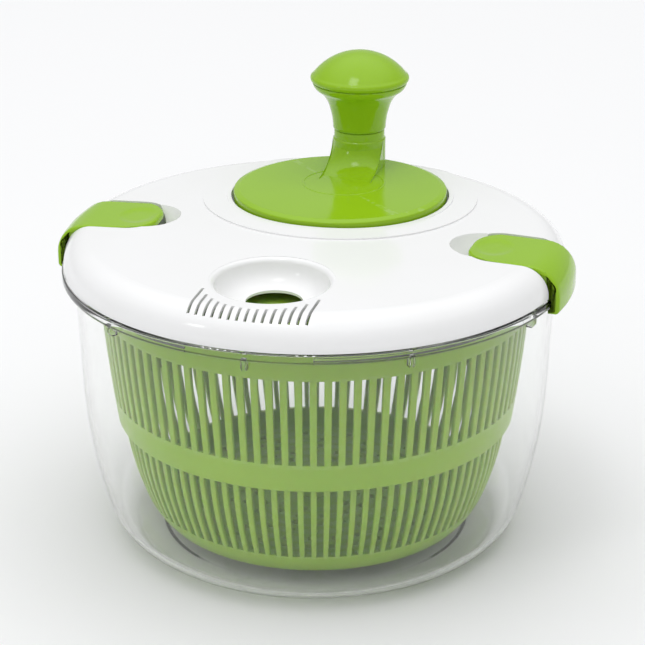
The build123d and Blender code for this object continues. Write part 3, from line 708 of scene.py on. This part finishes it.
# ---- basket ---------------------------------------------------------------------------------
@dataclass
class Basket:
    """Slotted basket: bands and floor rings turned about the axis, with bars between them."""

    slots: int = 98
    slot: float = 3.3
    wall: float = 2.2
    top: float = 139.0
    upper: tuple = (78.0, 123.0)
    lower: tuple = (22.0, 63.5)
    base: float = 10.2
    floor: float = 14.0
    hub: float = 10.0
    rows: int = 7
    first_row: float = 22.0
    row_pitch: float = 8.0
    row_gap: float = 1.8
    lip: float = 136.0
    belt_join: float = 65.0
    bush: float = 6.05

    def upper_radius(self, height: Array) -> Array:
        """Outside radius above the step, on the circle through three points of the side."""
        curve = through((108.4, 139.0), (105.4, 101.25), (100.9, 63.5), 48)[::-1]
        return np.interp(height, curve[:, 1], curve[:, 0])

    def lower_radius(self, height: Array) -> Array:
        """Outside radius below the step, on two circles through points of the side."""
        belly = through((98.3, 63.5), (94.6, 42.0), (87.6, 21.0), 40)[::-1]
        heel = through((87.6, 21.0), (84.4, 15.6), (79.8, 10.2), 12)[::-1]
        curve = run(heel, belly)
        return np.interp(height, curve[:, 1], curve[:, 0])

    def bars(self, low: float, high: float, radius: Callable) -> list[Part]:
        """Upright bars between the slots: a rounded section carried up the side.

        The section's half width at a height is half of (circumference / slots - slot width), and its
        points stand on the circle of that radius at the angle of width / radius.

        Args:
            low: lower end of the slots.
            high: upper end of the slots.
            radius: outside radius at a height.

        Returns:
            One part for each bar.
        """
        up = np.linspace(low - 1.0, high + 1.0, 12)
        size = radius(up)
        half = (2 * pi * size / self.slots - self.slot) / 2
        shape = rounded([(-1, -1), (1, -1), (1, 0), (-1, 0)], [0.12, 0.12, 0.22, 0.22], 2)
        across = shape[:, 0][None] * half[:, None]
        radial = size[:, None] + shape[:, 1][None] * self.wall
        centre = 2 * pi * (np.arange(self.slots) + 0.5) / self.slots
        angle = centre[:, None, None] + (across / size[:, None])[None]
        x, y = radial[None] * np.cos(angle), radial[None] * np.sin(angle)
        z = np.broadcast_to(up[None, :, None], x.shape)
        points = np.stack([x, y, z], 3)
        faces = grid_faces(len(up), len(shape), False, True)
        return [(rows.reshape(-1, 3), [faces]) for rows in points]

    def floor_rings(self) -> list[Part]:
        """Rings and spokes that leave rows of small square holes in the floor."""
        parts = []
        last = self.first_row + self.row_pitch * self.rows + 0.5
        edges = [self.hub - 0.5] + [self.first_row + self.row_pitch * i for i in range(self.rows)] + [last]
        for i in range(self.rows + 1):
            low = edges[i] + (self.row_gap if i else 0)
            high = edges[i + 1] - (self.row_gap if i < self.rows else 0)
            box = [(low, self.base + 0.6), (high, self.base + 0.6), (high, self.floor), (low, self.floor)]
            parts.append(lathe(rounded(box, 0.35, 2), segments=120))
        for i in range(self.rows):
            parts += self.spokes(edges[i + 1], 12 + 4 * i)
        return parts

    def spokes(self, radius: float, count: int) -> list[Part]:
        """Short curved blocks round a circle, which part the holes of one row.

        Args:
            radius: middle of the row.
            count: holes in the row.

        Returns:
            One part for each block.
        """
        half = self.row_gap + 0.3
        gap = self.row_gap / radius
        angle = np.linspace(gap, 2 * pi / count - gap, 5)[:, None]
        section = np.array([[radius - half, self.base + 0.8], [radius + half, self.base + 0.8],
                            [radius + half, self.floor - 0.2], [radius - half, self.floor - 0.2]])
        height = np.broadcast_to(section[:, 1], (5, 4))
        spots = np.stack([section[:, 0] * np.cos(angle), section[:, 0] * np.sin(angle), height], 2)
        faces = [grid_faces(5, 4, False, True), np.array([[3, 2, 1, 0]]), np.array([[16, 17, 18, 19]])]
        return [turned((spots.reshape(-1, 3), faces), 360 * k / count) for k in range(count)]

    def head(self) -> Array:
        """Upper band with its rolled rim."""
        rim = [(110.4, self.top - 2.6), (110.4, self.top), (106.2, self.top), (106.0, self.top - 0.4)]
        lip = rounded([(self.upper_radius(self.lip), self.lip), *rim], [0, 1.1, 1.1, 1.0, 0], closed=False)
        up = np.linspace(self.upper[1], self.lip - 0.2, 8)
        down = np.linspace(self.top - 0.6, self.upper[1], 9)
        outer = np.stack([self.upper_radius(up), up], 1)
        inner = np.stack([self.upper_radius(down) - self.wall, down], 1)
        return run(outer, lip, inner)

    def belt(self) -> Array:
        """Middle band, with the step that narrows the basket below it."""
        step = self.lower[1]
        up = np.linspace(self.belt_join, self.upper[0], 6)
        start = np.array([step - 0.3])
        ledge = [(98.6, step), (100.9, step), (self.upper_radius(self.belt_join), self.belt_join)]
        return run(
            np.stack([self.lower_radius(start), start], 1),
            rounded(ledge, [0, 0.9, 0], closed=False),
            np.stack([self.upper_radius(up), up], 1),
            np.stack([self.upper_radius(up[::-1]) - self.wall, up[::-1]], 1),
            [(96.2, self.belt_join), (96.2, step - 0.3)],
        )

    def foot(self) -> Array:
        """Lowest band, which turns in to a foot under the floor."""
        down = np.linspace(self.lower[0], self.base + 0.7, 10)
        up = np.linspace(self.floor + 1.0, self.lower[0], 7)
        sole = [(79.4, self.base), (77.8, self.base), (77.4, self.base + 1.4), (76.6, self.base + 1.4),
                (76.6, self.floor)]
        outer = np.stack([self.lower_radius(down), down], 1)
        inner = np.stack([self.lower_radius(up) - self.wall * 1.1, up], 1)
        return run(outer, sole, inner)

    def build(self, palette: Palette) -> None:
        """Make the basket and dress it."""
        parts = [lathe(band, segments=self.slots * 3) for band in (self.head(), self.belt(), self.foot())]
        parts += self.bars(*self.upper, self.upper_radius)
        parts += self.bars(*self.lower, self.lower_radius)
        parts += self.floor_rings()
        hub = rounded([(self.bush, self.base), (self.hub, self.base), (self.hub, 26.0), (0, 26.0), (0, 23.0),
                       (self.bush, 23.0)], [0.3, 0.5, 1.5, 0, 0, 0.3], 3)
        parts.append(lathe(hub, segments=64))
        palette.dress(make("basket_body", parts, 45.0), "green_satin", "basket", "basket")


# ---- crank and knob -------------------------------------------------------------------------
@dataclass
class Crank:
    """Green crank: a round disc with a ramped post near its rim."""

    radius: float = 55.4
    top: float = 164.75
    skirt: float = 7.6
    wall: float = 2.4
    hub: float = 12.0
    hub_low: float = 159.6
    shaft: float = 7.0
    square: float = 4.4
    badge: float = 21.1
    badge_shift: float = 7.0
    post: float = 14.0
    collar: float = 5.0
    bore: float = 4.1
    ramp_reach: float = 30.5

    def build(self, palette: Palette, axis: Vector, knob: Vector, post_top: float) -> None:
        """Make the crank and dress it.

        Args:
            palette: finishes.
            axis: point of the crank's axis, in metres.
            knob: point of the knob's axis, in metres.
            post_top: height of the top of the post, in millimetres.
        """
        centre = (axis.x / MM, axis.y / MM)
        place = (knob.x / MM, knob.y / MM)
        step = post_top - self.collar
        parts = self.disc(centre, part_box("crank_disc")[0].z / MM)
        neck = self.post - 0.6
        post = rounded(
            [(0, self.top - 1), (self.post, self.top - 1), (self.post, step), (neck, step + 0.6),
             (neck, post_top), (self.bore, post_top), (self.bore, self.top + 4), (0, self.top + 4)],
            [0, 0, 0.5, 0.3, 0.5, 0.3, 0, 0], closed=False)
        parts.append(lathe(post, place, 96, closed=False))
        parts.append(self.ramp(place[1], step - 0.6))
        palette.dress(make("crank_plate", parts, 35.0), "green_gloss", "crank", "crank_disc")

    def disc(self, centre: tuple, low: float) -> list[Part]:
        """Disc with its skirt and shaft, the square end of the shaft, and the faint ring on the disc.

        Args:
            centre: the crank's axis, as (x, y).
            low: height of the lower end of the shaft.

        Returns:
            The disc, the square and the ring.
        """
        top, skirt, inside = self.top, self.top - self.skirt, self.radius - self.wall
        outline = rounded(
            [(0, top + 0.12), (self.radius - 3.2, top), (self.radius - 0.2, top - 0.9), (self.radius, skirt),
             (inside, skirt), (inside, top - 2.6), (self.hub, top - 2.6), (self.hub, self.hub_low),
             (self.shaft, self.hub_low), (self.shaft, low + 6.0), (0, low + 6.0)],
            [0, 1.6, 0.9, 0.5, 0.5, 1.0, 1.0, 0.5, 0.5, 0.5, 0], closed=False)
        half, high = self.square, low + 6.4
        square = rounded([(-half, low), (half, low), (half, high), (-half, high)], 0.3)
        wide, narrow = 0.9, 0.5
        badge = rounded(
            [(self.badge - wide, top - 0.4), (self.badge + wide, top - 0.4), (self.badge + narrow, top + 0.3),
             (self.badge - narrow, top + 0.3)], [0, 0, 0.25, 0.25], 4)
        return [
            lathe(outline, centre, 256, closed=False),
            moved(prism(square, half, 0.3), shift=(*centre, 0)),
            lathe(badge, (centre[0], centre[1] + self.badge_shift), 128),
        ]

    def ramp(self, y: float, height: float) -> Part:
        """Ramp in front of the post, drawn so that its upper end meets the post's round side.

        At a distance x from the middle the post's side stands sqrt(post ** 2 - x ** 2) in front of its axis,
        and the ramp's length is stretched to end there.

        Args:
            y: the post's axis.
            height: height of the ramp's upper end.

        Returns:
            Points and faces.
        """
        sunk = 0.8
        foot = y - self.ramp_reach
        end = y - self.post + sunk
        slope = through((foot, self.top - 0.15), (y - 18.5, self.top + 4.2), (end, height), 20)
        side = run([(foot, self.top - 1.2)], slope, [(y, height), (y, self.top - 1.2)])
        points, faces = filled(prism(side, self.post - 0.3, 0.9)[0], len(side), 24)
        reach = y - np.sqrt(self.post ** 2 - points[:, 0] ** 2) + sunk
        stretch = (reach - foot) / (end - foot)
        points[:, 1] = np.minimum(foot + (points[:, 1] - foot) * stretch, y)
        return points, faces


@dataclass
class Knob:
    """Green knob: a waisted grip under a domed cap, with a fine joint between them."""

    brim: float = 25.2
    bore: float = 4.05
    foot: float = 14.0
    sleeve: float = 41.8
    socket: float = 7.0
    cavity: float = 19.4

    def build(self, palette: Palette, knob: Vector) -> None:
        """Make the grip and the cap and dress them."""
        place = (knob.x / MM, knob.y / MM)
        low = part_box("knob_grip")[0].z / MM
        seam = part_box("knob_cap")[0].z / MM
        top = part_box("knob_cap")[1].z / MM
        base = low - self.sleeve
        edge = self.brim - 0.25
        waist = (15.9, base + 53.5)
        flare = (23.0, base + 63.3)
        side = run(through((self.foot, low + 0.6), (14.5, base + 47.6), waist, 12),
                   through(waist, (18.6, base + 59.2), flare, 14),
                   through(flare, (24.4, base + 65.1), (edge, seam - 0.35), 8))
        socket = seam - self.socket
        roof = [(self.brim - 0.6, seam), (20.0, seam), (10, socket), (self.bore, socket)]
        grip = run([(self.bore, low), (self.foot - 0.5, low)], side, roof)
        handle = make("knob_handle", [lathe(grip, place, 160)], 50.0)
        palette.dress(handle, "green_gloss", "knob", "knob_grip")
        brow = (24.9, seam + 4.2)
        ball = (brow[0] ** 2 + (top - brow[1]) ** 2) / (2 * (top - brow[1]))
        reach = np.linspace(brow[0], 0, 40)
        over = np.stack([reach, top - ball + np.sqrt(ball ** 2 - reach ** 2)], 1)
        rim = through((edge, seam + 0.35), (26.1, seam + 1.9), brow, 10)
        inner = np.linspace(0, self.cavity, 16)
        rise = (top - seam - 7.0) * (1 - (inner / self.cavity) ** 2)
        under = np.stack([inner, seam + 4.0 + rise], 1)
        shell = run([(self.cavity, seam), (self.brim - 0.6, seam)], rim, over, under)
        dome = make("knob_dome", [lathe(shell, place, 160)], 50.0)
        palette.dress(dome, "green_gloss", "knob", "knob_cap")


# ---- latches --------------------------------------------------------------------------------
@dataclass
class Latch:
    """Green latch: an arm with a thumb dish, a drop outside the skirt and a hook."""

    side: str
    turn: float
    tip: float = 80.0
    out: float = 129.79
    inner: float = 127.0
    hook_in: float = 124.3
    hook_rise: float = 2.2
    half: float = 20.0
    narrowing: float = 0.04
    corner: float = 15.0
    under: float = 155.4
    top: float = 159.3
    pin: float = 118.0
    pin_height: float = 151.0
    boss: float = 4.0
    boss_half: float = 7.4
    boss_shift: float = 12.0
    dish_shift: float = 11.5
    dish_size: tuple = (9.0, 11.5)
    dish_depth: float = 0.55

    def build(self, palette: Palette) -> None:
        """Make the latch and dress it."""
        node = self.side + "_latch"
        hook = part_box(node)[0].z / MM
        parts = [turned(part, self.turn) for part in [self.arm(hook), *self.bosses()]]
        palette.dress(make(node + "_lever", parts, 42.0), "green_gloss", node, node)

    def arm(self, hook: float) -> Part:
        """Arm, drop and hook: a prism of the side outline, shaped in four steps.

        It narrows a little towards the tip, the tip's corners are drawn back along quarter rounds, the dish
        is a flat-floored oval pressed into the top, and a point at x and at a distance from the middle is
        brought in to sqrt(x ** 2 - distance ** 2), so that the drop follows the skirt.

        Args:
            hook: height of the hook's underside.

        Returns:
            Points and faces.
        """
        catch = hook + self.hook_rise
        outline = rounded(
            [(self.tip, self.under), (115.5, self.under), (122.8, 153.8), (self.inner, 149.0),
             (self.inner, catch), (self.hook_in, catch), (self.hook_in, hook), (self.out, hook),
             (self.out, self.top - 0.9), (self.tip, self.top)],
            [1.2, 3.0, 4.0, 3.0, 0.3, 0.3, 0.4, 2.0, 15.0, 1.6], 8)
        dense = self.spread(outline, 1.0)
        points, faces = filled(prism(dense, self.half, 1.2, 5)[0], len(dense), 30)
        along, x, z = points.T.copy()
        along = along * (1 - self.narrowing * np.clip((self.pin - x) / 36.0, 0, 1))
        flat = self.half * (1 - self.narrowing) - self.corner
        over = np.clip(np.abs(along) - flat, 0, self.corner)
        draw = self.corner - np.sqrt(np.maximum(self.corner ** 2 - over ** 2, 0))
        x = x + draw * np.clip((self.tip + 24 - x) / 24.0, 0, 1)
        across = np.hypot((x - self.tip - self.dish_shift) / self.dish_size[0], along / self.dish_size[1])
        z = z - self.dish_depth * np.clip(1.1 - across ** 4, 0, 1) * (z > self.under + 2.5)
        bend = np.clip((x - 88.0) / 24.0, 0, 1)
        x = x - bend * (x - np.sqrt(x ** 2 - along ** 2))
        return np.stack([x, along, z], 1), faces

    def bosses(self) -> list[Part]:
        """Two bosses on the pin, one on each side of the spring."""
        pin, size, middle, join = self.pin, self.boss, self.pin_height, self.under + 0.6
        low = middle - size
        outline = rounded(
            [(pin - size, middle), (pin - size + 0.9, low + 0.4), (pin, low), (pin + size - 0.9, low + 0.4),
             (pin + size, middle), (pin + size - 1, join), (pin - size + 1, join)],
            [1, 2, 2, 2, 1, 0.3, 0.3], 4)
        spots, skin = prism(outline[::-1], self.boss_half, 0.5)
        across, along, up = spots[:, 1], spots[:, 0], spots[:, 2]
        shifts = (-self.boss_shift, self.boss_shift)
        return [(np.stack([across, along + shift, up], 1), skin) for shift in shifts]

    def spread(self, outline: Array, step: float) -> Array:
        """Outline with points about a step apart on its long runs.

        Args:
            outline: closed outline.
            step: largest gap, in millimetres.

        Returns:
            The denser outline.
        """
        ends = np.roll(outline, -1, 0)
        gaps = np.linalg.norm(ends - outline, axis=1)
        counts = np.maximum(1, (gaps / step).astype(int))
        rows = [np.linspace(a, b, n, endpoint=False) for a, b, n in zip(outline, ends, counts)]
        return np.concatenate(rows)


# ---- studio ---------------------------------------------------------------------------------
@dataclass
class Studio:
    """Pale floor, soft light and the camera."""

    azimuth: float = 15.0
    pitch: float = 22.19
    distance: float = 1.01374
    aim: tuple = (0.00351, 0.00094, 0.10794)
    lens: float = 111.63

    def camera(self) -> None:
        """Place the camera on a line at the azimuth and pitch from its aim."""
        a, e = radians(self.azimuth), radians(self.pitch)
        back = Vector((sin(a) * cos(e), -cos(a) * cos(e), sin(e)))
        right = Vector((cos(a), sin(a), 0))
        up = back.cross(right)
        data = bpy.data.cameras.new("camera")
        data.lens = self.lens
        data.clip_end = 30.0
        camera = bpy.data.objects.new("camera", data)
        turn = Matrix((right, up, back)).transposed().to_4x4()
        camera.matrix_world = Matrix.Translation(Vector(self.aim) + back * self.distance) @ turn
        bpy.context.scene.collection.objects.link(camera)
        bpy.context.scene.camera = camera

    def lamp(self, name: str, place: tuple, size: float, power: float) -> None:
        """Square soft lamp that faces the middle of the object.

        Args:
            name: lamp's name.
            place: its position, in metres.
            size: length of its side, in metres.
            power: watts.
        """
        data = bpy.data.lights.new(name, "AREA")
        data.size = size
        data.energy = power
        lamp = bpy.data.objects.new(name, data)
        aim = Vector((0, 0, 0.1)) - Vector(place)
        lamp.matrix_world = Matrix.Translation(place) @ aim.to_track_quat("-Z", "Y").to_matrix().to_4x4()
        bpy.context.scene.collection.objects.link(lamp)

    def sky(self, tree: bpy.types.NodeTree) -> None:
        """Soft light from above: dim near the horizon, bright overhead."""
        tree.nodes["Background"].inputs["Color"].default_value = (0.985, 0.99, 1.0, 1)
        where = tree.nodes.new("ShaderNodeTexCoord")
        parts = tree.nodes.new("ShaderNodeSeparateXYZ")
        bright = tree.nodes.new("ShaderNodeMapRange")
        bright.interpolation_type = "SMOOTHSTEP"
        bright.inputs["From Min"].default_value = 0.45
        bright.inputs["From Max"].default_value = 1.0
        bright.inputs["To Min"].default_value = 0.56
        bright.inputs["To Max"].default_value = 1.75
        tree.links.new(where.outputs["Generated"], parts.inputs["Vector"])
        tree.links.new(parts.outputs["Z"], bright.inputs["Value"])
        tree.links.new(bright.outputs["Result"], tree.nodes["Background"].inputs["Strength"])

    def floor(self) -> None:
        """Pale round floor."""
        angle = np.linspace(0, 2 * pi, 96, endpoint=False)
        points = np.stack([9000 * np.cos(angle), 9000 * np.sin(angle), np.full_like(angle, -0.05)], 1)
        floor = make("floor", [(points, [np.arange(96)[None]])])
        material, tree, shader = blank("pale_floor")
        shade = tree.nodes.new("ShaderNodeMix")
        shade.data_type = "RGBA"
        shade.inputs["A"].default_value = (0.845, 0.845, 0.845, 1)
        shade.inputs["B"].default_value = (0.855, 0.855, 0.855, 1)
        tree.links.new(noise(tree, 3.0, 2.0).outputs["Fac"], shade.inputs["Factor"])
        tree.links.new(shade.outputs["Result"], shader.inputs["Base Color"])
        shader.inputs["Roughness"].default_value = 0.9
        shader.inputs["Specular IOR Level"].default_value = 0.1
        floor.data.materials.append(material)

    def build(self) -> None:
        """Set up everything around the object."""
        scene = bpy.context.scene
        scene.view_settings.view_transform = "Standard"
        world = bpy.data.worlds.new("studio")
        world.use_nodes = True
        self.sky(world.node_tree)
        scene.world = world
        scene.cycles.max_bounces = 24
        scene.cycles.transmission_bounces = 20
        scene.cycles.transparent_max_bounces = 24
        self.camera()
        self.lamp("key", (-0.15, -0.5, 1.7), 0.4, 2.2)
        self.lamp("small", (-0.9, -1.1, 0.9), 0.16, 0.8)
        self.floor()


# ---- whole object ---------------------------------------------------------------------------
def main() -> None:
    """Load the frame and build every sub-assembly round it."""
    logging.basicConfig(level=logging.INFO, format="%(message)s")
    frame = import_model()
    record = frame["record"]
    joints = {joint["name"]: joint for joint in frame["joints"]}
    axis = Vector(joints["crank_spin"]["pos_m"])
    knob = Vector(joints["knob_spin"]["pos_m"])
    palette = Palette()
    palette.build()
    for row in record["subparts"]:
        palette.dress_node(frame["nodes"][row["node"]], row["material_slot"])
    Studio().build()
    Bowl().build(palette)
    Basket().build(palette)
    Crank().build(palette, axis, knob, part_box("knob_grip")[0].z / MM - 0.3)
    Knob().build(palette, knob)
    Latch("right", -3.3).build(palette)
    Latch("left", 183.3).build(palette)


if __name__ == "__main__":
    main()
